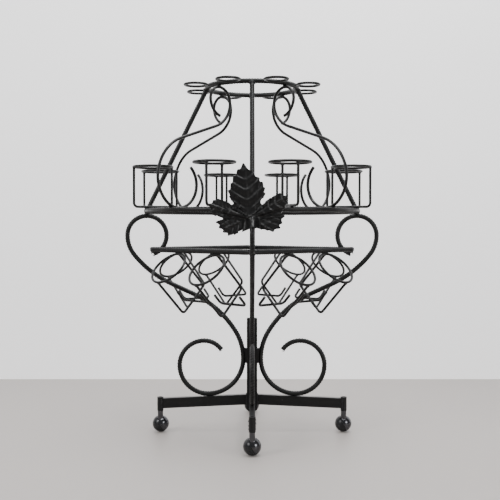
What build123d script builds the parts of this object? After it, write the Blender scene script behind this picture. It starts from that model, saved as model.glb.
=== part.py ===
from build123d import *
from math import atan2, cos, degrees, radians, sin, sqrt, tan
import os

# Wrought-iron bar cart: scrolled legs, three bar rings, bottle baskets, glass loops, ball casters.

# overall sizes, in mm
total_height = 832.0
middle_ring_radius = 252.0
middle_ring_height = 533.0
top_ring_radius = 107.0

# stock
bar_radius = 5.5          # ring, strut and leg bar
wire_radius = 3.0         # baskets and glass loops
thin_bar_radius = 3.5     # the four upper scrolls
tube_wall = 2.0

# base
column_side = 25.0
column_bottom = 56.0
column_top = 276.0
arm_height = 24.0
arm_width = 13.0
arm_top_at_axis = 93.0
arm_droop = 2.6           # degrees
caster_offset = 221.0     # swivel axis from the cart's axis
socket_radius = 7.5
socket_bottom = 53.0
socket_top = 86.0
weld_block_width = 6.0
weld_block_low = 168.0
weld_block_high = 204.0

# legs
leg_contact = 102.0       # where the lower curl rests on its arm
leg_curl_out = ((69.0, 90.0 + arm_droop), (59.0, 90.0), (51.0, 55.0))
leg_curl_in = ((85.0, -(90.0 - arm_droop)), (126.0, -32.0))
leg_back_radius = 238.0
leg_sweep_radius = 250.0
leg_shoulder_radius = 74.0
leg_shoulder_turn = 39.0
top_curl_radius = 46.9
top_curl_end = 340.0      # heading of the free end, degrees

# thin upper scrolls
thin_curl_out = ((27.0, -94.0), (42.0, -68.0))
thin_curl_in = ((34.0, 84.0), (51.0, 44.0))
thin_back_radius = 69.0
thin_sweep_radius = 100.0
thin_shoulder_radius = 74.0
thin_shoulder_turn = 66.0
thin_end_radius = 52.0
thin_contact_angle = 112.0
thin_end_heading = 42.0

# lower square frame
frame_corner_radius = 15.0
frame_contact_angle = 250.0

# baskets and loops
hoop_radius = 44.5
basket_depth = 92.0
basket_azimuth = 19.5     # either side of each strut
basket_inset = 10.0
cradle_corner = 9.0
tilted_depth = 108.0
tilted_offset = 65.0      # either side of the middle of a side of the square
tilted_angle = 45.0
cross_half_width = 40.5
cross_upturn = 28.0
loop_radius = 26.0
loop_azimuth = 22.5

# leaf, on the front
leaf_thickness = 3.0
leaf_standoff = 26.0      # of the leaf from the middle ring
leaf_distance = middle_ring_radius + leaf_standoff
leaf_centre = (-6.3, 514.0)
tooth_depth = 0.07        # of the distance from the vein junction

# casters
ball_radius = 20.0
wheel_shell = 3.0
wheel_tilt = 30.0         # of the axle, below level
caster_trail = 9.0
wheel_gap = 0.5
hub_radius = 5.0
axle_radius = 2.0
axle_head_radius = 4.0
axle_head_height = 1.2
stem_radius = 4.0
boss_radius = 6.5
running_clearance = 0.05
thrust_gap = 0.3
stem_end_gap = 2.0

azimuths = (0.0, 90.0, 180.0, 270.0)
sides = ("right", "back", "left", "front")
top_ring_height = total_height - bar_radius


def unit(angle):
    return Vector(cos(radians(angle)), sin(radians(angle)))


def heading_of(vector):
    return degrees(atan2(vector.Y, vector.X))


def walk(start, heading, moves):
    """Edges of a line that starts at a point and heading; a move is (radius, turn) or (length, 0)."""
    edges = []
    point = Vector(*start)
    for size, turn in moves:
        if turn:
            edges.append(JernArc(point, unit(heading), size, turn))
        else:
            edges.append(Line(point, point + unit(heading) * size))
        point = edges[-1] @ 1
        heading += turn
    return edges


def radial_bar(edges, radius):
    """Round bar along edges drawn in the (distance from axis, height) plane."""
    path = Plane.XZ * Wire(edges)
    return sweep(Plane(origin=path @ 0, z_dir=path % 0) * Circle(radius), path=path)


def cylinder_between(start, end, radius):
    axis = Vector(*end) - Vector(*start)
    profile = Plane(origin=start, z_dir=axis) * Circle(radius)
    return extrude(profile, amount=axis.length)


def turned(shape, azimuth):
    return shape.rotate(Axis.Z, azimuth)


def save(name, shape):
    export_step(shape, f"parts/{name}.step")


def crossing(centre_a, radius_a, centre_b, radius_b, first_turn):
    """Heading and length of the straight between two circles that are gone round opposite ways."""
    apart = Vector(*centre_b) - Vector(*centre_a)
    reach = radius_a + radius_b
    length = sqrt(apart.length**2 - reach**2)
    heading = heading_of(apart) + first_turn * degrees(atan2(reach, length))
    return heading, length


# --- legs -------------------------------------------------------------------------------------

ring_centre = Vector(middle_ring_radius, middle_ring_height)
curl_centre = ring_centre - Vector(0, 2 * bar_radius + top_curl_radius)
leg_start = Vector(
    leg_contact + bar_radius * sin(radians(arm_droop)),
    arm_top_at_axis - leg_contact * tan(radians(arm_droop)) + bar_radius * cos(radians(arm_droop)),
)


def leg_edges():
    outward = walk(leg_start, -arm_droop, leg_curl_out)
    inward = walk(leg_start, 180 - arm_droop, leg_curl_in)
    rise = 180 - arm_droop + sum(turn for radius, turn in leg_curl_in)
    back_centre = inward[-1] @ 1 - unit(rise + 90) * leg_back_radius
    entry = 90.0
    shoulder = entry - leg_shoulder_turn
    shoulder_centre = curl_centre + unit(entry + 90) * (leg_shoulder_radius - top_curl_radius)
    sweep_centre = shoulder_centre + unit(shoulder + 90) * (leg_sweep_radius - leg_shoulder_radius)
    straight, length = crossing(back_centre, leg_back_radius, sweep_centre, leg_sweep_radius, -1)
    moves = (
        (leg_back_radius, straight - rise),
        (length, 0),
        (leg_sweep_radius, shoulder - straight),
        (leg_shoulder_radius, leg_shoulder_turn),
        (top_curl_radius, top_curl_end - entry),
    )
    return outward + inward + walk(inward[-1] @ 1, rise, moves)


def thin_scroll_edges():
    start = Vector(top_ring_radius, top_ring_height - bar_radius - thin_bar_radius)
    outward = walk(start, 0, thin_curl_out)
    inward = walk(start, 180, thin_curl_in)
    heading = 180 + sum(turn for radius, turn in thin_curl_in)
    back_centre = inward[-1] @ 1 + unit(heading + 90) * thin_back_radius
    reach = bar_radius + thin_bar_radius + thin_end_radius
    end_centre = ring_centre + unit(thin_contact_angle) * reach
    shoulder = thin_end_heading + 180
    shoulder_centre = end_centre + unit(shoulder - 90) * (thin_shoulder_radius - thin_end_radius)
    entry = shoulder + thin_shoulder_turn
    sweep_centre = shoulder_centre + unit(entry - 90) * (thin_sweep_radius - thin_shoulder_radius)
    straight, length = crossing(back_centre, thin_back_radius, sweep_centre, thin_sweep_radius, 1)
    straight = straight % 360
    moves = (
        (thin_back_radius, straight - heading),
        (length, 0),
        (thin_sweep_radius, entry - straight),
        (thin_shoulder_radius, -thin_shoulder_turn),
        (thin_end_radius, thin_end_heading - shoulder),
    )
    return outward + inward + walk(inward[-1] @ 1, heading, moves)


# --- base -------------------------------------------------------------------------------------

def column():
    height = column_top - column_bottom
    outer = extrude(Rectangle(column_side, column_side), amount=height)
    inner = extrude(Rectangle(column_side - 2 * tube_wall, column_side - 2 * tube_wall), amount=height)
    return Pos(0, 0, column_bottom) * (outer - inner)


def base_arm():
    length = caster_offset / cos(radians(arm_droop))
    outer = extrude(Plane.YZ * Rectangle(arm_width, arm_height), amount=length)
    inner = extrude(
        Plane.YZ * Rectangle(arm_width - 2 * tube_wall, arm_height - 2 * tube_wall), amount=length
    )
    drop = arm_height / 2 / cos(radians(arm_droop))
    arm = Pos(0, 0, arm_top_at_axis - drop) * ((outer - inner).rotate(Axis.Y, arm_droop))
    column_block = Pos(0, 0, column_bottom) * Box(
        column_side, 2 * column_side, 2 * column_top, align=(Align.CENTER, Align.CENTER, Align.CENTER)
    )
    socket_block = Pos(caster_offset, 0, socket_bottom) * Cylinder(socket_radius, 4 * arm_height)
    return arm - column_block - socket_block


def caster_socket():
    height = socket_top - socket_bottom
    tube = Cylinder(socket_radius, height, align=(Align.CENTER, Align.CENTER, Align.MIN))
    bore = Cylinder(
        stem_radius + running_clearance, height, align=(Align.CENTER, Align.CENTER, Align.MIN)
    )
    return Pos(caster_offset, 0, socket_bottom) * (tube - bore)


def weld_block(leg):
    """Block that fills the gap between the column's face and the leg's lower curl."""
    depth = leg_start.X - column_side
    block = Pos(column_side / 2, 0, weld_block_low) * Box(
        depth,
        weld_block_width,
        weld_block_high - weld_block_low,
        align=(Align.MIN, Align.CENTER, Align.MIN),
    )
    pieces = (block - leg).solids()
    return pieces.sort_by(Axis.X)[0]


# --- rings ------------------------------------------------------------------------------------

def square_frame():
    centre = curl_centre + unit(frame_contact_angle) * (top_curl_radius - 2 * bar_radius)
    half_side = (centre.X + frame_corner_radius * (sqrt(2) - 1)) / sqrt(2)
    outline = RectangleRounded(2 * half_side, 2 * half_side, frame_corner_radius)
    path = Pos(0, 0, centre.Y) * outline.wire()
    frame = sweep(Plane(origin=path @ 0, z_dir=path % 0) * Circle(bar_radius), path=path)
    return turned(frame, 45), half_side, centre.Y


def ring(radius, height):
    return Pos(0, 0, height) * Torus(radius, bar_radius)


def strut():
    low = ring_centre
    high = Vector(top_ring_radius, top_ring_height)
    along = (high - low).normalized()
    start = low + along * bar_radius
    end = high - along * bar_radius
    return cylinder_between((start.X, 0, start.Y), (end.X, 0, end.Y), bar_radius)


# --- baskets ----------------------------------------------------------------------------------

def cradle(depth):
    """U of wire in the XZ plane under a hoop at the origin, coped to the hoop."""
    path = Plane.XZ * FilletPolyline(
        (-hoop_radius, 0), (-hoop_radius, -depth), (hoop_radius, -depth), (hoop_radius, 0),
        radius=cradle_corner,
    )
    wire = sweep(Plane(origin=path @ 0, z_dir=path % 0) * Circle(wire_radius), path=path)
    return wire - hoop()


def hoop():
    return Torus(hoop_radius, wire_radius)


def cross_piece(depth):
    """Short U across the bottom of the cradle, under it, with free ends."""
    floor = -depth - 2 * wire_radius
    path = Plane.YZ * FilletPolyline(
        (-cross_half_width, floor + cross_upturn),
        (-cross_half_width, floor),
        (cross_half_width, floor),
        (cross_half_width, floor + cross_upturn),
        radius=cradle_corner,
    )
    return sweep(Plane(origin=path @ 0, z_dir=path % 0) * Circle(wire_radius), path=path)


def upper_basket():
    rest_height = middle_ring_height + bar_radius + wire_radius
    place = Pos(middle_ring_radius - basket_inset, 0, rest_height + basket_depth)
    return place * Compound([hoop()] + cradle(basket_depth).solids())


def tilted_basket(half_side, height):
    pieces = [hoop()] + cradle(tilted_depth).solids() + [cross_piece(tilted_depth)]
    tilt = radians(tilted_angle)
    drop = bar_radius + wire_radius
    place = Pos(half_side + hoop_radius * cos(tilt), 0, height - drop - hoop_radius * sin(tilt))
    return place * Compound(pieces).rotate(Axis.Y, tilted_angle)


# --- leaf -------------------------------------------------------------------------------------

# tips of the teeth of each lobe, from the vein junction, with the notch that follows each lobe
leaf_lobes = (
    ((24, 35), (33, 51), (33, 62), (28, 74), (20, 84), (9, 95), (-12.4, 114),
     (-25, 99.5), (-34, 85), (-39, 71), (-44.4, 56), (-41.8, 44.5), (-31, 32)),
    ((-50.7, 35), (-64.6, 40), (-74.8, 37), (-86.8, 28.5), (-82.4, 15), (-76, 6.5), (-66, 3.4)),
    ((-69.7, -8.2), (-63.4, -21), (-54.5, -30.4), (-43.7, -37.4), (-30.4, -36), (-20.3, -28), (-13.9, -29)),
    ((13.3, -22.2), (25.3, -25), (38, -27), (49.4, -29.2), (64.6, -21.5), (68.4, -11.4), (74, 3.8)),
    ((74, 21.5), (81, 32), (80.5, 45.6), (64, 52), (50, 45.2), (41, 37.3)),
)
leaf_notches = ((-36, 22), (-55, -0.6), (5, -14), (67, 13), (31, 28.8))


def leaf_outline():
    points = []
    for tips, notch in zip(leaf_lobes, leaf_notches):
        for tip, following in zip(tips, tips[1:] + (None,)):
            points.append(Vector(*tip))
            if following:
                valley = (Vector(*tip) * 0.35 + Vector(*following) * 0.65) * (1 - tooth_depth)
                points.append(valley)
        points.append(Vector(*notch))
    return [(point.X, point.Y) for point in points]


def vine_leaf(front_leg):
    face = make_face(Polyline(*leaf_outline(), close=True))
    plate = extrude(Plane.XZ * face, amount=leaf_thickness / 2, both=True)
    return Pos(leaf_centre[0], -leaf_distance, leaf_centre[1]) * plate - front_leg


# --- casters ----------------------------------------------------------------------------------

axle_direction = Vector(-cos(radians(wheel_tilt)), 0, -sin(radians(wheel_tilt)))
ball_centre = Vector(0, caster_trail, ball_radius)
axle_frame = Plane(origin=ball_centre, z_dir=axle_direction)


def disc(radius, low, high):
    """Cylinder about the axle between two distances from the ball's centre."""
    return Pos(0, 0, low) * Cylinder(radius, high - low, align=(Align.CENTER, Align.CENTER, Align.MIN))


def caster_wheel():
    half = Sphere(ball_radius) & disc(2 * ball_radius, wheel_gap / 2, 2 * ball_radius)
    cavity = Sphere(ball_radius - wheel_shell) & disc(2 * ball_radius, 0, ball_radius - 2 * wheel_shell)
    hub = disc(hub_radius, wheel_gap / 2, ball_radius - wheel_shell)
    wheel = half - (cavity - hub)
    wheel -= disc(axle_radius + running_clearance, -ball_radius, 2 * ball_radius)
    recess = ball_radius - axle_head_height - wheel_gap
    wheel -= disc(axle_head_radius + wheel_gap, recess, 2 * ball_radius)
    return axle_frame * wheel


def caster_axle():
    shaft = disc(axle_radius, -ball_radius + 2 * wheel_shell, ball_radius - axle_head_height)
    head = disc(axle_head_radius, ball_radius - axle_head_height, ball_radius)
    return axle_frame * (shaft + head)


def caster_hood():
    half = Sphere(ball_radius) & disc(2 * ball_radius, -2 * ball_radius, -wheel_gap / 2)
    cavity = Sphere(ball_radius - wheel_shell) & disc(2 * ball_radius, -ball_radius + 2 * wheel_shell, 0)
    hub = disc(hub_radius, -ball_radius + wheel_shell, -wheel_gap)
    hood = axle_frame * (half - (cavity - hub))
    boss_top = socket_bottom - thrust_gap
    boss_foot = ball_radius + ball_radius / 2
    boss = Pos(0, 0, boss_foot) * Cylinder(
        boss_radius, boss_top - boss_foot, align=(Align.CENTER, Align.CENTER, Align.MIN)
    )
    wheel_room = axle_frame * disc(3 * ball_radius, -wheel_gap / 2, 3 * ball_radius)
    hood = hood + (boss - wheel_room)
    return hood - caster_stem() - caster_axle()


def caster_stem():
    low = ball_radius + ball_radius / 2 + wheel_shell
    high = socket_top - stem_end_gap
    return Pos(0, 0, low) * Cylinder(
        stem_radius, high - low, align=(Align.CENTER, Align.CENTER, Align.MIN)
    )


# --- the cart ---------------------------------------------------------------------------------

os.makedirs("parts", exist_ok=True)

leg = radial_bar(leg_edges(), bar_radius)
thin_scroll = radial_bar(thin_scroll_edges(), thin_bar_radius)
frame, frame_half_side, frame_height = square_frame()

save("column_tube", column())
save("lower_frame", frame)
save("middle_ring", ring(middle_ring_radius, middle_ring_height))
save("top_ring", ring(top_ring_radius, top_ring_height))
save("vine_leaf", vine_leaf(turned(leg, 270)))
save("weld_blocks", Compound([turned(weld_block(leg), azimuth) for azimuth in azimuths]))

for side, azimuth in zip(sides, azimuths):
    save(f"scroll_leg_{side}", turned(leg, azimuth))
    save(f"strut_{side}", turned(strut(), azimuth))
    save(f"base_arm_{side}", turned(base_arm(), azimuth))
    save(f"caster_socket_{side}", turned(caster_socket(), azimuth))
    corner_azimuth = azimuth + 45
    save(f"thin_scroll_{side}", turned(thin_scroll, corner_azimuth))
    place = Pos(turned(Vertex(caster_offset, 0, 0), azimuth).center())
    save(f"caster_hood_{side}", place * caster_hood())
    save(f"caster_stem_{side}", place * caster_stem())
    save(f"caster_axle_{side}", place * caster_axle())
    save(f"caster_wheel_{side}", place * caster_wheel())

for number, azimuth in enumerate(a + s * basket_azimuth for a in azimuths for s in (-1, 1)):
    save(f"upper_basket_{number + 1}", turned(upper_basket(), azimuth))

for number, (azimuth, s) in enumerate((a + 45, s) for a in azimuths for s in (-1, 1)):
    basket = Pos(0, s * tilted_offset, 0) * tilted_basket(frame_half_side, frame_height)
    save(f"tilted_basket_{number + 1}", turned(basket, azimuth))

loop_offset = top_ring_radius + bar_radius + wire_radius + loop_radius
loop = Pos(loop_offset, 0, top_ring_height) * Torus(loop_radius, wire_radius)
loops = [turned(loop, a + s * loop_azimuth) for a in azimuths for s in (-1, 1)]
save("glass_loops", Compound(loops))
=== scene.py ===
import math
import bpy
from mathutils import Euler, Matrix, Vector, noise


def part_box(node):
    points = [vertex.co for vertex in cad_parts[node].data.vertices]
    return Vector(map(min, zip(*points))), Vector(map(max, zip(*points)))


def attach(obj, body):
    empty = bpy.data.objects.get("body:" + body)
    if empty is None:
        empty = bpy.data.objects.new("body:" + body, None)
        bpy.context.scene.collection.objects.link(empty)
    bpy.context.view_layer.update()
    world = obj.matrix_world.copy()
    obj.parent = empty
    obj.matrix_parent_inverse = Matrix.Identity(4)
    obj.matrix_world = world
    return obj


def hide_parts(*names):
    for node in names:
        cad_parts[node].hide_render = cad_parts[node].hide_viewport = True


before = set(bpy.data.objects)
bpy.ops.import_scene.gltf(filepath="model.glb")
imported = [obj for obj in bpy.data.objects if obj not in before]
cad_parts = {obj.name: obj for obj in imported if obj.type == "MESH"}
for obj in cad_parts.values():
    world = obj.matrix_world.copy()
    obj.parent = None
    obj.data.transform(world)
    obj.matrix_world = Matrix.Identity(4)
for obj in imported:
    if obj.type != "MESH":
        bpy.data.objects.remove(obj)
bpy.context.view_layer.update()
sideNames = ("right", "back", "left", "front")
quarterTurns = dict(zip(sideNames, (0.0, 90.0, 180.0, 270.0)))

paintSettings = {
    "colour": (0.003, 0.003, 0.0032),
    "worn": (0.09, 0.085, 0.08),
    "dust": (0.012, 0.012, 0.0125),
    "leaf": (0.003, 0.003, 0.0031),
    "leafWorn": (0.06, 0.055, 0.05),
    "leafDust": (0.008, 0.008, 0.008),
    "weld": (0.006, 0.006, 0.0065),
}
wheelSettings = {"dark": (0.006, 0.0065, 0.0075), "scuffed": (0.03, 0.03, 0.031)}
chromeSettings = {"bright": (0.075, 0.075, 0.08), "tarnished": (0.02, 0.019, 0.018)}
steelSettings = {"bright": (0.3, 0.3, 0.31), "dull": (0.14, 0.14, 0.14)}


def newSocket(group, name, kind, value=None, out=False):
    socket = group.interface.new_socket(name=name, in_out="OUTPUT" if out else "INPUT", socket_type=kind)
    if value is not None:
        socket.default_value = value
    return socket


def linkNodes(tree, *pairs):
    for source, target in pairs:
        tree.links.new(source, target)


def buildFinishGroup():
    group = bpy.data.node_groups.new("ironFinish", "ShaderNodeTree")
    newSocket(group, "Base", "NodeSocketColor", (0, 0, 0, 1))
    newSocket(group, "Worn", "NodeSocketColor", (0.1, 0.1, 0.1, 1))
    newSocket(group, "Dust", "NodeSocketColor", (0.1, 0.1, 0.1, 1))
    newSocket(group, "Grain Scale", "NodeSocketFloat", 900.0)
    newSocket(group, "Wear Amount", "NodeSocketFloat", 0.5)
    newSocket(group, "Roughness Low", "NodeSocketFloat", 0.34)
    newSocket(group, "Roughness High", "NodeSocketFloat", 0.52)
    newSocket(group, "Color", "NodeSocketColor", out=True)
    newSocket(group, "Roughness", "NodeSocketFloat", out=True)
    newSocket(group, "Height", "NodeSocketFloat", out=True)
    nodes = group.nodes
    inputs = nodes.new("NodeGroupInput")
    outputs = nodes.new("NodeGroupOutput")
    place = nodes.new("ShaderNodeTexCoord")
    grain = nodes.new("ShaderNodeTexNoise")
    grain.inputs["Detail"].default_value = 3
    patches = nodes.new("ShaderNodeTexNoise")
    patches.inputs["Scale"].default_value = 55
    patches.inputs["Detail"].default_value = 5
    patches.inputs["Roughness"].default_value = 0.62
    chips = nodes.new("ShaderNodeTexNoise")
    chips.inputs["Scale"].default_value = 160
    chips.inputs["Detail"].default_value = 2
    linkNodes(group, *((place.outputs["Object"], n.inputs["Vector"]) for n in (grain, patches, chips)))
    linkNodes(group, (inputs.outputs["Grain Scale"], grain.inputs["Scale"]))

    def remap(source, low, high, outLow, outHigh):
        node = nodes.new("ShaderNodeMapRange")
        node.inputs["From Min"].default_value = low
        node.inputs["From Max"].default_value = high
        node.inputs["To Min"].default_value = outLow
        node.inputs["To Max"].default_value = outHigh
        linkNodes(group, (source, node.inputs["Value"]))
        return node

    wornMask = remap(chips.outputs["Fac"], 0.66, 0.74, 0, 1)
    wornAmount = nodes.new("ShaderNodeMath")
    wornAmount.operation = "MULTIPLY"
    linkNodes(group, (wornMask.outputs[0], wornAmount.inputs[0]))
    linkNodes(group, (inputs.outputs["Wear Amount"], wornAmount.inputs[1]))
    normal = nodes.new("ShaderNodeNewGeometry")
    split = nodes.new("ShaderNodeSeparateXYZ")
    linkNodes(group, (normal.outputs["Normal"], split.inputs[0]))
    upward = remap(split.outputs["Z"], 0.55, 1.0, 0, 0.55)
    dustPatch = nodes.new("ShaderNodeMath")
    dustPatch.operation = "MULTIPLY"
    linkNodes(group, (upward.outputs[0], dustPatch.inputs[0]))
    linkNodes(group, (patches.outputs["Fac"], dustPatch.inputs[1]))
    dusty = nodes.new("ShaderNodeMixRGB")
    linkNodes(group, (dustPatch.outputs[0], dusty.inputs[0]), (inputs.outputs["Base"], dusty.inputs[1]))
    linkNodes(group, (inputs.outputs["Dust"], dusty.inputs[2]))
    worn = nodes.new("ShaderNodeMixRGB")
    linkNodes(group, (wornAmount.outputs[0], worn.inputs[0]), (dusty.outputs[0], worn.inputs[1]))
    linkNodes(group, (inputs.outputs["Worn"], worn.inputs[2]), (worn.outputs[0], outputs.inputs["Color"]))
    rough = nodes.new("ShaderNodeMapRange")
    rough.inputs["From Min"].default_value = 0.3
    rough.inputs["From Max"].default_value = 0.7
    linkNodes(group, (patches.outputs["Fac"], rough.inputs["Value"]))
    linkNodes(group, (inputs.outputs["Roughness Low"], rough.inputs["To Min"]))
    linkNodes(group, (inputs.outputs["Roughness High"], rough.inputs["To Max"]))
    linkNodes(group, (rough.outputs[0], outputs.inputs["Roughness"]))
    height = nodes.new("ShaderNodeMath")
    height.operation = "MULTIPLY_ADD"
    height.inputs[1].default_value = 0.35
    linkNodes(group, (grain.outputs["Fac"], height.inputs[0]), (patches.outputs["Fac"], height.inputs[2]))
    linkNodes(group, (height.outputs[0], outputs.inputs["Height"]))
    return group


finishGroup = buildFinishGroup()


def makeMaterial(
    name, base, worn, dust, wear, roughness,
    metallic=0.0, grainScale=900.0, bump=0.25, coat=0.0, specular=0.28,
):
    material = bpy.data.materials.new(name)
    material.use_nodes = True
    tree = material.node_tree
    shader = tree.nodes["Principled BSDF"]
    finish = tree.nodes.new("ShaderNodeGroup")
    finish.node_tree = finishGroup
    finish.inputs["Base"].default_value = (*base, 1)
    finish.inputs["Worn"].default_value = (*worn, 1)
    finish.inputs["Dust"].default_value = (*dust, 1)
    finish.inputs["Wear Amount"].default_value = wear
    finish.inputs["Grain Scale"].default_value = grainScale
    finish.inputs["Roughness Low"].default_value = roughness[0]
    finish.inputs["Roughness High"].default_value = roughness[1]
    relief = tree.nodes.new("ShaderNodeBump")
    relief.inputs["Strength"].default_value = bump
    relief.inputs["Distance"].default_value = 0.0006
    linkNodes(
        tree,
        (finish.outputs["Color"], shader.inputs["Base Color"]),
        (finish.outputs["Roughness"], shader.inputs["Roughness"]),
        (finish.outputs["Height"], relief.inputs["Height"]),
        (relief.outputs["Normal"], shader.inputs["Normal"]),
    )
    shader.inputs["Metallic"].default_value = metallic
    shader.inputs["Coat Weight"].default_value = coat
    shader.inputs["Specular IOR Level"].default_value = specular
    shader.inputs["Coat Roughness"].default_value = 0.2
    return material


ink, wornInk, dustInk = paintSettings["colour"], paintSettings["worn"], paintSettings["dust"]
barPaint = makeMaterial("barPaint", ink, wornInk, dustInk, 0.35, (0.32, 0.5), bump=0.35)
tubePaint = makeMaterial("tubePaint", ink, wornInk, dustInk, 0.3, (0.3, 0.46), bump=0.3)
wirePaint = makeMaterial("wirePaint", ink, wornInk, dustInk, 0.25, (0.3, 0.45), bump=0.2)
leafPaint = makeMaterial(
    "leafPaint", paintSettings["leaf"], paintSettings["leafWorn"], paintSettings["leafDust"], 0.05,
    (0.34, 0.46), bump=0.2,
)
weldPaint = makeMaterial(
    "weldPaint", paintSettings["weld"], wornInk, dustInk, 0.2, (0.35, 0.6), bump=0.8, grainScale=500
)
hoodChrome = makeMaterial(
    "hoodChrome", chromeSettings["bright"], chromeSettings["tarnished"], dustInk, 0.6,
    (0.1, 0.24), metallic=1.0, bump=0.08,
)
wheelGloss = makeMaterial(
    "wheelGloss", wheelSettings["dark"], wheelSettings["scuffed"], dustInk, 0.5,
    (0.24, 0.4), bump=0.15, coat=0.12,
)
pinSteel = makeMaterial(
    "pinSteel", steelSettings["bright"], steelSettings["dull"], dustInk, 0.5, (0.25, 0.4), metallic=1.0
)

nodeFinishes = {
    "caster_hood": hoodChrome,
    "caster_stem": hoodChrome,
    "caster_wheel": wheelGloss,
    "caster_axle": pinSteel,
    "caster_socket": tubePaint,
    "base_arm": tubePaint,
    "column": tubePaint,
    "upper_basket": wirePaint,
    "tilted_basket": wirePaint,
    "glass_loops": wirePaint,
    "thin_scroll": wirePaint,
    "weld_blocks": weldPaint,
    "vine_leaf": leafPaint,
}
for nodeName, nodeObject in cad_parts.items():
    finish = next((m for start, m in nodeFinishes.items() if nodeName.startswith(start)), barPaint)
    nodeObject.data.materials.clear()
    nodeObject.data.materials.append(finish)
print("finishes on the CAD nodes")

def polar(angle, size=1.0):
    return Vector((math.cos(math.radians(angle)), math.sin(math.radians(angle)))) * size


def meshObject(name, vertices, faces, edges=()):
    mesh = bpy.data.meshes.new(name)
    mesh.from_pydata([tuple(v) for v in vertices], list(edges), list(faces))
    thing = bpy.data.objects.new(name, mesh)
    bpy.context.scene.collection.objects.link(thing)
    return thing


def settle(thing, name, smooth=True):
    bpy.context.view_layer.update()
    evaluated = thing.evaluated_get(bpy.context.evaluated_depsgraph_get())
    mesh = bpy.data.meshes.new_from_object(evaluated)
    mesh.name = name
    plain = bpy.data.objects.new(name, mesh)
    bpy.context.scene.collection.objects.link(plain)
    bpy.data.objects.remove(thing)
    for polygon in mesh.polygons:
        polygon.use_smooth = smooth
    return plain


def setInput(modifier, name, value):
    items = modifier.node_group.interface.items_tree
    item = next(i for i in items if i.name == name and i.in_out == "INPUT")
    modifier[item.identifier] = value

barRadius = (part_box("middle_ring")[1].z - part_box("middle_ring")[0].z) / 2
ringSpots = {}
for ringName in ("middle_ring", "top_ring"):
    low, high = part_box(ringName)
    ringSpots[ringName] = ((high.x - low.x) / 2 - barRadius, (high.z + low.z) / 2)
middleRadius, middleHeight = ringSpots["middle_ring"]
topRadius, topHeight = ringSpots["top_ring"]

legSettings = {
    "droop": 2.6,
    "contact": 0.102,
    "curlOut": ((0.069, 92.6), (0.059, 90.0), (0.051, 55.0)),
    "curlIn": ((0.085, -87.4), (0.126, -32.0)),
    "backRadius": 0.238,
    "sweepRadius": 0.250,
    "shoulder": (0.074, 39.0),
    "topRadius": 0.0469,
    "endHeading": 340.0,
    "step": 0.003,
}


def walkLine(start, heading, moves, step):
    points = [start.copy()]
    for size, turn in moves:
        point = points[-1]
        if turn:
            side = math.copysign(1, turn)
            centre = point + polar(heading + 90 * side, size)
            count = max(3, round(abs(math.radians(turn)) * size / step))
            first = heading - 90 * side
            points += [centre + polar(first + turn * k / count, size) for k in range(1, count + 1)]
            heading += turn
        else:
            count = max(2, round(size / step))
            points += [point + polar(heading, size * k / count) for k in range(1, count + 1)]
    return points


def crossing(centreA, radiusA, centreB, radiusB):
    apart = centreB - centreA
    reach = radiusA + radiusB
    length = math.sqrt(apart.length_squared - reach**2)
    return math.degrees(math.atan2(apart.y, apart.x) - math.atan2(reach, length)), length


def legLine():
    s = legSettings
    # the leg's lowest bar surface lies on the arm, so its centre line starts one bar radius above it
    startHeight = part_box("scroll_leg_right")[0].z + barRadius
    droop = math.radians(s["droop"])
    firstRadius = s["curlOut"][0][0]
    lowered = firstRadius * (1 - math.cos(droop))
    start = Vector((s["contact"] + barRadius * math.sin(droop), startHeight + lowered))
    outward = walkLine(start, -s["droop"], s["curlOut"], s["step"])
    inward = walkLine(start, 180 - s["droop"], s["curlIn"], s["step"])
    rise = 180 - s["droop"] + sum(turn for radius, turn in s["curlIn"])
    backCentre = inward[-1] - polar(rise + 90, s["backRadius"])
    curlCentre = Vector((middleRadius, middleHeight - 2 * barRadius - s["topRadius"]))
    entry = 90.0
    shoulderRadius, shoulderTurn = s["shoulder"]
    shoulderCentre = curlCentre + polar(entry + 90, shoulderRadius - s["topRadius"])
    sweepCentre = shoulderCentre + polar(entry - shoulderTurn + 90, s["sweepRadius"] - shoulderRadius)
    straight, length = crossing(backCentre, s["backRadius"], sweepCentre, s["sweepRadius"])
    moves = (
        (s["backRadius"], straight - rise),
        (length, 0),
        (s["sweepRadius"], entry - shoulderTurn - straight),
        (shoulderRadius, shoulderTurn),
        (s["topRadius"], s["endHeading"] - entry),
    )
    upper = walkLine(inward[-1], rise, moves, s["step"])
    return list(reversed(outward)) + inward[1:] + upper[1:]


def radialPoint(flat, azimuth):
    spot = polar(azimuth, flat.x)
    return Vector((spot.x, spot.y, flat.y))


legFlat = legLine()
legLines = {s: [radialPoint(p, a) for p in legFlat] for s, a in quarterTurns.items()}
strutLines = {}
for strutSide, azimuth in quarterTurns.items():
    foot, head = Vector((middleRadius, middleHeight)), Vector((topRadius, topHeight))
    along = (head - foot).normalized() * barRadius
    strutLines[strutSide] = [radialPoint(foot + along, azimuth), radialPoint(head - along, azimuth)]


def circleLine(radius, height, count=180):
    return [radialPoint(Vector((radius, height)), 360 * k / count) for k in range(count)]


frameLow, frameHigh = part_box("lower_frame")
frameHeight = (frameLow.z + frameHigh.z) / 2
frameCorner = frameHigh.x - barRadius
cornerRadius = 0.015
frameHalf = (frameCorner + cornerRadius * (math.sqrt(2) - 1)) / math.sqrt(2)


def squareLine():
    points = []
    inner = frameHalf - cornerRadius
    for quarter in range(4):
        turn = Matrix.Rotation(math.radians(45 + 90 * quarter), 3, "Z")
        for k in range(9):
            spot = polar(90 * k / 8, cornerRadius)
            points.append(turn @ Vector((inner + spot.x, inner + spot.y, frameHeight)))
    return points

ribSettings = {"spacing": 0.0064, "height": 0.00085, "tilt": 26.0}


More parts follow.
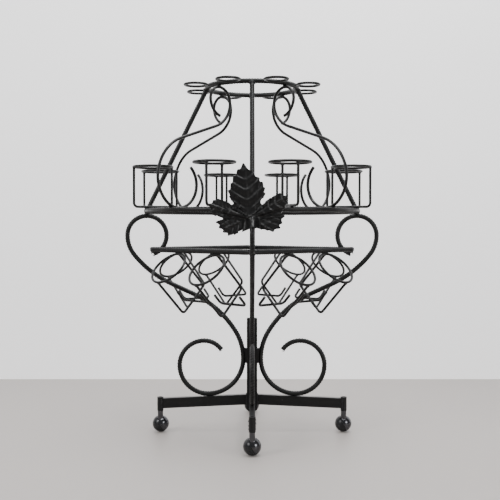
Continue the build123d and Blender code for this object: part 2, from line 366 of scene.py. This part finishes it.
def buildRibTree():
    tree = bpy.data.node_groups.new("ribbedBar", "GeometryNodeTree")
    newSocket(tree, "Geometry", "NodeSocketGeometry")
    newSocket(tree, "Core Radius", "NodeSocketFloat", 0.005)
    newSocket(tree, "Spacing", "NodeSocketFloat", 0.006)
    newSocket(tree, "Rib Height", "NodeSocketFloat", 0.0005)
    newSocket(tree, "Tilt", "NodeSocketFloat", 0.4)
    newSocket(tree, "Finish", "NodeSocketMaterial")
    newSocket(tree, "Geometry", "NodeSocketGeometry", out=True)
    nodes = tree.nodes
    inputs = nodes.new("NodeGroupInput")
    outputs = nodes.new("NodeGroupOutput")
    line = nodes.new("GeometryNodeMeshToCurve")
    spots = nodes.new("GeometryNodeCurveToPoints")
    spots.mode = "LENGTH"
    arc = nodes.new("GeometryNodeCurveArc")
    arc.mode = "RADIUS"
    arc.inputs["Resolution"].default_value = 12
    arc.inputs["Start Angle"].default_value = math.radians(12)
    arc.inputs["Sweep Angle"].default_value = math.radians(156)
    bead = nodes.new("GeometryNodeCurvePrimitiveCircle")
    bead.inputs["Resolution"].default_value = 5
    ribMesh = nodes.new("GeometryNodeCurveToMesh")
    ribMesh.inputs["Fill Caps"].default_value = True
    leaning = nodes.new("GeometryNodeTransform")
    lean = nodes.new("ShaderNodeCombineXYZ")
    other = nodes.new("GeometryNodeTransform")
    half = nodes.new("ShaderNodeMath")
    half.operation = "MULTIPLY"
    half.inputs[1].default_value = 0.5
    shift = nodes.new("ShaderNodeCombineXYZ")
    other.inputs["Rotation"].default_value = (0, 0, math.pi)
    pair = nodes.new("GeometryNodeJoinGeometry")
    place = nodes.new("GeometryNodeInstanceOnPoints")
    real = nodes.new("GeometryNodeRealizeInstances")
    paint = nodes.new("GeometryNodeSetMaterial")
    linkNodes(
        tree,
        (inputs.outputs["Geometry"], line.inputs["Mesh"]),
        (line.outputs["Curve"], spots.inputs["Curve"]),
        (inputs.outputs["Spacing"], spots.inputs["Length"]),
        (inputs.outputs["Core Radius"], arc.inputs["Radius"]),
        (inputs.outputs["Rib Height"], bead.inputs["Radius"]),
        (arc.outputs["Curve"], ribMesh.inputs["Curve"]),
        (bead.outputs["Curve"], ribMesh.inputs["Profile Curve"]),
        (ribMesh.outputs["Mesh"], leaning.inputs["Geometry"]),
        (inputs.outputs["Tilt"], lean.inputs["Y"]),
        (lean.outputs["Vector"], leaning.inputs["Rotation"]),
        (leaning.outputs["Geometry"], other.inputs["Geometry"]),
        (inputs.outputs["Spacing"], half.inputs[0]),
        (half.outputs[0], shift.inputs["Z"]),
        (shift.outputs["Vector"], other.inputs["Translation"]),
        (leaning.outputs["Geometry"], pair.inputs["Geometry"]),
        (other.outputs["Geometry"], pair.inputs["Geometry"]),
        (spots.outputs["Points"], place.inputs["Points"]),
        (spots.outputs["Rotation"], place.inputs["Rotation"]),
        (pair.outputs["Geometry"], place.inputs["Instance"]),
        (place.outputs["Instances"], real.inputs["Geometry"]),
        (real.outputs["Geometry"], paint.inputs["Geometry"]),
        (inputs.outputs["Finish"], paint.inputs["Material"]),
        (paint.outputs["Geometry"], outputs.inputs["Geometry"]),
    )
    return tree


ribTree = buildRibTree()


def ribBar(name, line, closed=False):
    count = len(line)
    edges = [(k, k + 1) for k in range(count - 1)] + ([(count - 1, 0)] if closed else [])
    guide = meshObject(name + "Guide", line, (), edges)
    modifier = guide.modifiers.new("ribs", "NODES")
    modifier.node_group = ribTree
    setInput(modifier, "Core Radius", barRadius)
    setInput(modifier, "Spacing", ribSettings["spacing"])
    setInput(modifier, "Rib Height", ribSettings["height"])
    setInput(modifier, "Tilt", math.radians(ribSettings["tilt"]))
    setInput(modifier, "Finish", barPaint)
    ribs = settle(guide, name)
    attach(ribs, "frame")
    return ribs


for barSide in sideNames:
    ribBar(f"legRibs_{barSide}", legLines[barSide])
    ribBar(f"strutRibs_{barSide}", strutLines[barSide])
ribBar("middleRingRibs", circleLine(middleRadius, middleHeight), closed=True)
ribBar("topRingRibs", circleLine(topRadius, topHeight), closed=True)
ribBar("lowerFrameRibs", squareLine(), closed=True)
print("ribs on the reinforcing bar")

weldSettings = {
    "seed": 7,
    "vary": 0.35,
    "crossHalf": 0.004,
    "armHeight": 0.024,
    "socketFoot": 0.005,
    "socketHead": 0.006,
    "cradleHalf": 0.006,
    "loopHalf": 0.0045,
    "scrollInset": 0.002,
}


def buildWeldTree():
    tree = bpy.data.node_groups.new("weldBeads", "GeometryNodeTree")
    newSocket(tree, "Geometry", "NodeSocketGeometry")
    newSocket(tree, "Dab Radius", "NodeSocketFloat", 0.002)
    newSocket(tree, "Vary", "NodeSocketFloat", 0.3)
    newSocket(tree, "Seed", "NodeSocketInt", 1)
    newSocket(tree, "Finish", "NodeSocketMaterial")
    newSocket(tree, "Geometry", "NodeSocketGeometry", out=True)
    nodes = tree.nodes
    inputs = nodes.new("NodeGroupInput")
    outputs = nodes.new("NodeGroupOutput")
    dab = nodes.new("GeometryNodeMeshIcoSphere")
    dab.inputs["Subdivisions"].default_value = 2
    low = nodes.new("ShaderNodeMath")
    low.operation = "SUBTRACT"
    low.inputs[0].default_value = 1
    high = nodes.new("ShaderNodeMath")
    high.operation = "ADD"
    high.inputs[0].default_value = 1
    size = nodes.new("FunctionNodeRandomValue")
    size.data_type = "FLOAT"
    turn = nodes.new("FunctionNodeRandomValue")
    turn.data_type = "FLOAT_VECTOR"
    turn.inputs["Max"].default_value = (6.28, 6.28, 6.28)
    flatten = nodes.new("GeometryNodeTransform")
    flatten.inputs["Scale"].default_value = (1.0, 1.25, 0.8)
    place = nodes.new("GeometryNodeInstanceOnPoints")
    real = nodes.new("GeometryNodeRealizeInstances")
    paint = nodes.new("GeometryNodeSetMaterial")
    sizeIn = [s for s in size.inputs if s.enabled]
    sizeOut = next(s for s in size.outputs if s.enabled)
    turnOut = next(s for s in turn.outputs if s.enabled)
    linkNodes(
        tree,
        (inputs.outputs["Dab Radius"], dab.inputs["Radius"]),
        (dab.outputs["Mesh"], flatten.inputs["Geometry"]),
        (inputs.outputs["Vary"], low.inputs[1]),
        (inputs.outputs["Vary"], high.inputs[1]),
        (low.outputs[0], sizeIn[0]),
        (high.outputs[0], sizeIn[1]),
        (inputs.outputs["Seed"], size.inputs["Seed"]),
        (inputs.outputs["Seed"], turn.inputs["Seed"]),
        (inputs.outputs["Geometry"], place.inputs["Points"]),
        (flatten.outputs["Geometry"], place.inputs["Instance"]),
        (sizeOut, place.inputs["Scale"]),
        (turnOut, place.inputs["Rotation"]),
        (place.outputs["Instances"], real.inputs["Geometry"]),
        (real.outputs["Geometry"], paint.inputs["Geometry"]),
        (inputs.outputs["Finish"], paint.inputs["Material"]),
        (paint.outputs["Geometry"], outputs.inputs["Geometry"]),
    )
    return tree


weldTree = buildWeldTree()


def weldRing(centre, axis, radius, count):
    turn = axis.normalized().to_track_quat("Z", "Y")
    return [centre + turn @ Vector((*polar(360 * k / count, radius), 0)) for k in range(count)]


def weldSeam(start, end, count):
    return [start.lerp(end, k / (count - 1)) for k in range(count)]


def strutWelds():
    points = []
    for side in sideNames:
        foot, head = strutLines[side]
        points += weldRing(foot, head - foot, barRadius * 0.92, 14)
        points += weldRing(head, head - foot, barRadius * 0.92, 14)
    return points


def crossWelds():
    points = []
    across = weldSettings["crossHalf"]
    for side, azimuth in quarterTurns.items():
        outward = radialPoint(Vector((1, 0)), azimuth)
        sideways = Vector((-outward.y, outward.x, 0))
        curlTop = radialPoint(Vector((middleRadius, middleHeight - barRadius)), azimuth)
        frameTouch = radialPoint(Vector((frameCorner, frameHeight - barRadius)), azimuth)
        arm = radialPoint(Vector((legSettings["contact"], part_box("scroll_leg_right")[0].z)), azimuth)
        seams = ((curlTop, sideways), (curlTop, outward), (frameTouch, sideways), (arm, outward))
        for spot, along in seams:
            points += weldSeam(spot - along * across, spot + along * across, 5)
    return points


def armWelds():
    points = []
    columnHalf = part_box("column_tube")[1].x
    for side, azimuth in quarterTurns.items():
        armLow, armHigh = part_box("base_arm_" + side)
        width = min(armHigh.x - armLow.x, armHigh.y - armLow.y) / 2
        outward = radialPoint(Vector((1, 0)), azimuth)
        sideways = Vector((-outward.y, outward.x, 0))
        root = outward * columnHalf
        top = Vector((0, 0, armHigh.z))
        bottom = Vector((0, 0, armHigh.z - weldSettings["armHeight"]))
        for hand in (-1, 1):
            edge = root + sideways * width * hand
            points += weldSeam(edge + bottom, edge + top, 11)
        points += weldSeam(root - sideways * width + top, root + sideways * width + top, 7)
        socketLow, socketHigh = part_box("caster_socket_" + side)
        socket = (socketLow + socketHigh) / 2
        radius = (socketHigh.x - socketLow.x) / 2
        for hand in (-1, 1):
            edge = socket - outward * radius * 0.45 + sideways * width * hand
            foot, head = edge.copy(), edge.copy()
            foot.z = socketLow.z + weldSettings["socketFoot"]
            head.z = socketHigh.z - weldSettings["socketHead"]
            points += weldSeam(foot, head, 10)
    return points


basketSettings = {"wire": 0.003, "hoop": 0.0445, "drop": 0.0085, "besideMiddle": 0.065, "tilt": 45}


def basketWelds():
    points = []
    wire = basketSettings["wire"]
    for number in range(1, 9):
        low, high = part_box(f"upper_basket_{number}")
        centre = (low + high) / 2
        outward = Vector((centre.x, centre.y, 0)).normalized()
        hoopHeight = high.z - wire
        for hand in (-1, 1):
            spot = Vector((centre.x, centre.y, hoopHeight)) + outward * basketSettings["hoop"] * hand
            points += weldRing(spot - Vector((0, 0, wire)), Vector((0, 0, 1)), wire * 0.9, 7)
        rest = outward * middleRadius + Vector((0, 0, middleHeight + barRadius))
        sideways = Vector((-outward.y, outward.x, 0))
        points += weldSeam(rest - sideways * wire, rest + sideways * wire, 4)
    for quarter in range(4):
        outward = radialPoint(Vector((1, 0)), 45 + 90 * quarter)
        sideways = Vector((-outward.y, outward.x, 0))
        for hand in (-1, 1):
            side = sideways * basketSettings["besideMiddle"] * hand
            rest = outward * frameHalf + side + Vector((0, 0, frameHeight - barRadius))
            half = sideways * weldSettings["cradleHalf"]
            points += weldSeam(rest - half, rest + half, 6)
            tilt = math.radians(basketSettings["tilt"])
            hoopTop = outward * frameHalf + side + Vector((0, 0, frameHeight - basketSettings["drop"]))
            slope = outward * math.cos(tilt) - Vector((0, 0, math.sin(tilt)))
            span = slope * 2 * basketSettings["hoop"]
            inward = (outward * math.cos(tilt) + Vector((0, 0, math.sin(tilt)))) * -wire
            points += weldRing(hoopTop + inward, inward, wire * 0.9, 7)
            points += weldRing(hoopTop + span + inward, inward, wire * 0.9, 7)
    return points


def loopWelds():
    points = []
    for k in range(8):
        azimuth = 22.5 + 45 * k
        touch = radialPoint(Vector((topRadius + barRadius, topHeight)), azimuth)
        sideways = radialPoint(Vector((1, 0)), azimuth + 90)
        half = sideways * weldSettings["loopHalf"]
        points += weldSeam(touch - half, touch + half, 6)
    for k in range(4):
        azimuth = 45 + 90 * k
        under = radialPoint(Vector((topRadius, topHeight - barRadius)), azimuth)
        overAt = Vector((middleRadius - weldSettings["scrollInset"], middleHeight + barRadius))
        over = radialPoint(overAt, azimuth)
        half = radialPoint(Vector((weldSettings["crossHalf"], 0)), azimuth)
        points += weldSeam(under - half, under + half, 5)
        points += weldSeam(over - half, over + half, 5)
    return points


# each group of beads: what makes its points, and the size of a dab
weldGroups = {
    "strutWelds": (strutWelds, 0.0022),
    "crossWelds": (crossWelds, 0.0024),
    "armWelds": (armWelds, 0.0018),
    "basketWelds": (basketWelds, 0.0014),
    "loopWelds": (loopWelds, 0.0016),
}
for number, (weldName, (pointMaker, dabRadius)) in enumerate(weldGroups.items()):
    spots = meshObject(weldName + "Spots", pointMaker(), ())
    modifier = spots.modifiers.new("welds", "NODES")
    modifier.node_group = weldTree
    setInput(modifier, "Dab Radius", dabRadius)
    setInput(modifier, "Vary", weldSettings["vary"])
    setInput(modifier, "Seed", weldSettings["seed"] + number)
    setInput(modifier, "Finish", weldPaint)
    beads = settle(spots, weldName)
    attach(beads, "frame")
print("weld beads")

# in mm from the junction of the veins, as seen from the front
leafSettings = {
    "lobes": (
        ((24, 35), (33, 51), (33, 62), (28, 74), (20, 84), (9, 95), (-12.4, 114),
         (-25, 99.5), (-34, 85), (-39, 71), (-44.4, 56), (-41.8, 44.5), (-31, 32)),
        ((-50.7, 35), (-64.6, 40), (-74.8, 37), (-86.8, 28.5), (-82.4, 15), (-76, 6.5), (-66, 3.4)),
        ((-69.7, -8.2), (-63.4, -21), (-54.5, -30.4), (-43.7, -37.4), (-30.4, -36),
         (-20.3, -28), (-13.9, -29)),
        ((13.3, -22.2), (25.3, -25), (38, -27), (49.4, -29.2), (64.6, -21.5), (68.4, -11.4), (74, 3.8)),
        ((74, 21.5), (81, 32), (80.5, 45.6), (64, 52), (50, 45.2), (41, 37.3)),
    ),
    "notches": (
        ((-39, 23), (-29, 22)), ((-55, -2),), ((5, -20),), ((66, 9),), ((35, 27), (25, 29)),
    ),
    "veins": ((96, 114, 3.4), (161, 92, 3.0), (-157, 70, 2.6), (-30, 66, 2.6), (29, 92, 3.0)),
    "veinHeights": (0.8, 1.6, 1.8, 1.8, 1.6),
    "puckers": (21.0, 15.0, 13.0, 13.0, 16.0),
    "puckerHeights": (2.6, 1.6, 1.8, 1.8, 1.6),
    "puckerBend": 7.0,
    "puckerSlant": 0.85,
    "puckerSteepness": 0.78,
    "veinReach": 60.0,
    "crest": 2.6,
    "crestStep": 3.0,
    "crestWidth": 5.0,
    "crestEnd": 82.0,
    "barAt": 6.3,
    "curlOuter": 53.5,
    "aboveCurl": 38.0,
    "sleeveCover": 2.6,
    "sleeveBase": 279.5,
    "sleeveWidth": 10.5,
    "toothDepth": 4.0,
    "toothLean": 0.55,
    "ringCount": 46,
    "samples": 6,
    "thickness": 2.6,
    "edgeRound": 0.5,
}


def leafEdge():
    rim = []
    for tips, notches in zip(leafSettings["lobes"], leafSettings["notches"]):
        for tip, following in zip(tips, tips[1:] + (None,)):
            rim.append(Vector(tip))
            if following:
                valley = Vector(tip).lerp(Vector(following), leafSettings["toothLean"])
                rim.append(valley - valley.normalized() * leafSettings["toothDepth"])
        rim += [Vector(notch) for notch in notches]
    rounded = []
    count = len(rim)
    for k in range(count):
        before, here, after, later = rim[k - 1], rim[k], rim[(k + 1) % count], rim[(k + 2) % count]
        for j in range(leafSettings["samples"]):
            t = j / leafSettings["samples"]
            # Catmull-Rom through tips and valleys
            curved = 0.5 * (
                2 * here + (after - before) * t + (2 * before - 5 * here + 4 * after - later) * t * t
                + (3 * here - before - 3 * after + later) * t**3
            )
            rounded.append(curved)
    return rounded


def easeBetween(value, low, high):
    share = min(1.0, max(0.0, (value - low) / (high - low)))
    return share * share * (3 - 2 * share)


def veinRelief(x, z):
    s = leafSettings
    distance = math.hypot(x, z)
    angle = math.degrees(math.atan2(z, x))
    height = 0.0
    veinRows = zip(s["veins"], s["veinHeights"], s["puckers"], s["puckerHeights"])
    for vein, veinHigh, pucker, puckerHigh in veinRows:
        veinAngle, length, width = vein
        turn = (angle - veinAngle + 180) % 360 - 180
        if abs(turn) > s["veinReach"]:
            continue
        along = distance * math.cos(math.radians(turn))
        off = distance * math.sin(math.radians(turn))
        taper = width * (1.3 - 0.6 * min(1.0, along / length))
        height += veinHigh * easeBetween(along, 6, 30) * math.exp(-((off / taper) ** 2))
        # puckers cross the vein as rounded hollows that open towards the tip
        cup = math.hypot(off, s["puckerBend"]) - s["puckerBend"]
        phase = ((along - s["puckerSlant"] * cup) / pucker) % 1.0
        steep = s["puckerSteepness"]
        wave = phase / steep if phase < steep else (1.0 - phase) / (1.0 - steep)
        inside = easeBetween(s["veinReach"] - abs(turn), 0, 30) * easeBetween(along, 14, 30)
        height += puckerHigh * inside * (easeBetween(wave, 0, 1) - 0.5)
    return height


def crestRelief(x, z):
    # one ridge runs from the left lobe through the junction to the right lobe, with a step below it
    s = leafSettings
    crestLine = (0.3 if x > 0 else 0.2) * abs(x) + 0.0006 * x * x
    above = z - crestLine
    ridge = s["crest"] * math.exp(-(((above - 1.5) / s["crestWidth"]) ** 2))
    step = s["crestStep"] * easeBetween(-above, 0, 4) * easeBetween(26 + above, 0, 20)
    return easeBetween(s["crestEnd"] - abs(x), 0, 40) * (ridge - step)


def stemSleeve(x, z):
    # the leaf is beaten round the leg's curl below its junction
    s = leafSettings
    curl = math.sqrt(max(0.0, s["curlOuter"] ** 2 - (z + s["aboveCurl"]) ** 2))
    rise = middleRadius * 1000 + curl + s["sleeveCover"] - s["sleeveBase"]
    across = math.exp(-((abs(x - s["barAt"]) / s["sleeveWidth"]) ** 3))
    return max(0.0, rise) * across * easeBetween(-z, -6, 6)


def leafRelief(spot):
    x, z = spot
    height = veinRelief(x, z) + crestRelief(x, z) + stemSleeve(x, z)
    height += 1.5 * noise.noise(Vector((x * 0.05, z * 0.05, 3.1)))
    height += 0.4 * noise.noise(Vector((x * 0.16, z * 0.16, 8.4)))
    edgeCurl = 0.0009 if z < 0 else 0.00035
    return height - edgeCurl * (x * x + z * z)


def vineLeaf():
    low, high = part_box("vine_leaf")
    rim = leafEdge()
    plane = (low.y + high.y) / 2
    junctionX = high.x - max(p.x for p in rim) / 1000
    junctionZ = high.z - max(p.y for p in rim) / 1000

    def onLeaf(flat):
        relief = leafRelief(flat) / 1000
        return Vector((junctionX + flat.x / 1000, plane - relief, junctionZ + flat.y / 1000))

    rings = leafSettings["ringCount"]
    vertices = [onLeaf(Vector((0, 0)))]
    for ring in range(1, rings + 1):
        vertices += [onLeaf(p * ring / rings) for p in rim]
    count = len(rim)
    # the rim's points run anticlockwise seen from the front, so these faces look forward
    faces = [(0, 1 + k, 1 + (k + 1) % count) for k in range(count)]
    for ring in range(rings - 1):
        a, b = 1 + ring * count, 1 + (ring + 1) * count
        faces += [(a + k, b + k, b + (k + 1) % count, a + (k + 1) % count) for k in range(count)]
    leaf = meshObject("vineLeaf", vertices, faces)
    leaf.data.materials.append(leafPaint)
    thick = leaf.modifiers.new("sheet", "SOLIDIFY")
    thick.thickness = leafSettings["thickness"] / 1000
    thick.offset = -1
    soft = leaf.modifiers.new("edge", "BEVEL")
    soft.width = leafSettings["edgeRound"] / 1000
    soft.segments = 2
    soft.limit_method = "ANGLE"
    soft.angle_limit = math.radians(60)
    leaf = settle(leaf, "vineLeafBlade")
    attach(leaf, "frame")
    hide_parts("vine_leaf")


vineLeaf()
print("vine leaf")

studioSettings = {
    "floor": (0.33, 0.305, 0.29),
    "floorGlow": 0.12,
    "wall": (0.86, 0.86, 0.865),
    "wallGlow": 0.52,
    "wallAt": 0.73,
    "world": 0.35,
}


def plainFinish(name, colour, roughness, glow):
    material = bpy.data.materials.new(name)
    material.use_nodes = True
    shader = material.node_tree.nodes["Principled BSDF"]
    shader.inputs["Base Color"].default_value = (*colour, 1)
    shader.inputs["Roughness"].default_value = roughness
    shader.inputs["Emission Color"].default_value = (*colour, 1)
    shader.inputs["Emission Strength"].default_value = glow
    return material


def seeThroughFromBehind(material):
    tree = material.node_tree
    shader = tree.nodes["Principled BSDF"]
    side = tree.nodes.new("ShaderNodeNewGeometry")
    clear = tree.nodes.new("ShaderNodeBsdfTransparent")
    blend = tree.nodes.new("ShaderNodeMixShader")
    linkNodes(
        tree,
        (side.outputs["Backfacing"], blend.inputs[0]),
        (shader.outputs["BSDF"], blend.inputs[1]),
        (clear.outputs["BSDF"], blend.inputs[2]),
        (blend.outputs[0], tree.nodes["Material Output"].inputs["Surface"]),
    )


def stagePlane(name, corners, finish):
    plane = meshObject(name, corners, [(0, 1, 2, 3)])
    plane.data.materials.append(finish)


wallAt = studioSettings["wallAt"]
floorFinish = plainFinish("paleFloor", studioSettings["floor"], 0.5, studioSettings["floorGlow"])
wallFinish = plainFinish("paleWall", studioSettings["wall"], 0.8, studioSettings["wallGlow"])
seeThroughFromBehind(wallFinish)
stagePlane("floor", ((-4, -3.5, 0), (4, -3.5, 0), (4, wallAt, 0), (-4, wallAt, 0)), floorFinish)
stagePlane("wall", ((-4, wallAt, 0), (4, wallAt, 0), (4, wallAt, 4), (-4, wallAt, 4)), wallFinish)


def areaLight(name, place, target, size, power):
    data = bpy.data.lights.new(name, "AREA")
    data.shape = "DISK"
    data.size = size
    data.energy = power
    lamp = bpy.data.objects.new(name, data)
    lamp.location = place
    lamp.rotation_euler = (Vector(target) - Vector(place)).to_track_quat("-Z", "Y").to_euler()
    bpy.context.scene.collection.objects.link(lamp)


areaLight("ceilingLight", (0.3, -0.4, 2.6), (0, 0, 0.4), 1.8, 90)
areaLight("windowLight", (-2.2, -1.6, 1.7), (0, 0, 0.45), 1.3, 55)
areaLight("fillLight", (2.0, -1.9, 1.0), (0, 0, 0.5), 1.2, 30)

world = bpy.data.worlds.new("paleRoom")
world.use_nodes = True
world.node_tree.nodes["Background"].inputs["Color"].default_value = (0.92, 0.93, 0.95, 1)
world.node_tree.nodes["Background"].inputs["Strength"].default_value = studioSettings["world"]
bpy.context.scene.world = world

cameraSettings = {"place": (-0.0048, -2.064, 0.493), "pitch": 1.47, "lens": 61.9}
cameraData = bpy.data.cameras.new("camera")
cameraData.lens = cameraSettings["lens"]
cameraData.sensor_width = 36
camera = bpy.data.objects.new("camera", cameraData)
camera.location = cameraSettings["place"]
camera.rotation_euler = Euler((math.radians(90 - cameraSettings["pitch"]), 0, 0))
bpy.context.scene.collection.objects.link(camera)
bpy.context.scene.camera = camera
print("camera and light")
